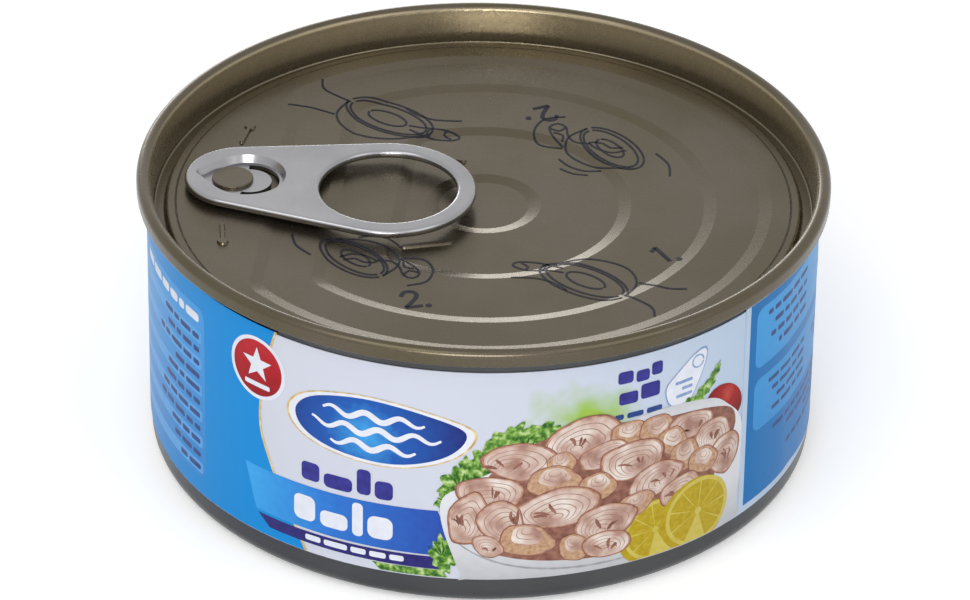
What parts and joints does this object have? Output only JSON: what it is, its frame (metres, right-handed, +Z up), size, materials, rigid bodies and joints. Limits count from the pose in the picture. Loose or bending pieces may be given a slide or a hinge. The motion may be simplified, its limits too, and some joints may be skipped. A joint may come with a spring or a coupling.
{
  "type": "tuna can",
  "caption": "Shut shallow food can with a paper label, a stepped easy-open lid seamed on round its rim and a riveted ring pull.",
  "frame": {"origin": "middle of the base, on the surface that the can stands on", "axes": "+Z up through the lid; -Y is the front of the label; the rivet and nose of the ring pull lie towards -X"},
  "size_m": [0.0864, 0.0864, 0.0373],
  "materials": {
    "tinplate": "dull satin tinplate",
    "gold_lacquered_tinplate": "smooth satin gold-brown lacquer over tinplate",
    "satin_steel": "satin rolled steel",
    "printed_paper": "coated printed paper with a soft gloss"
  },
  "bodies": {
    "root": {"can_body": "tinplate", "lid": "gold_lacquered_tinplate", "pull_tab": "satin_steel", "label": "printed_paper"}
  },
  "joints": []
}
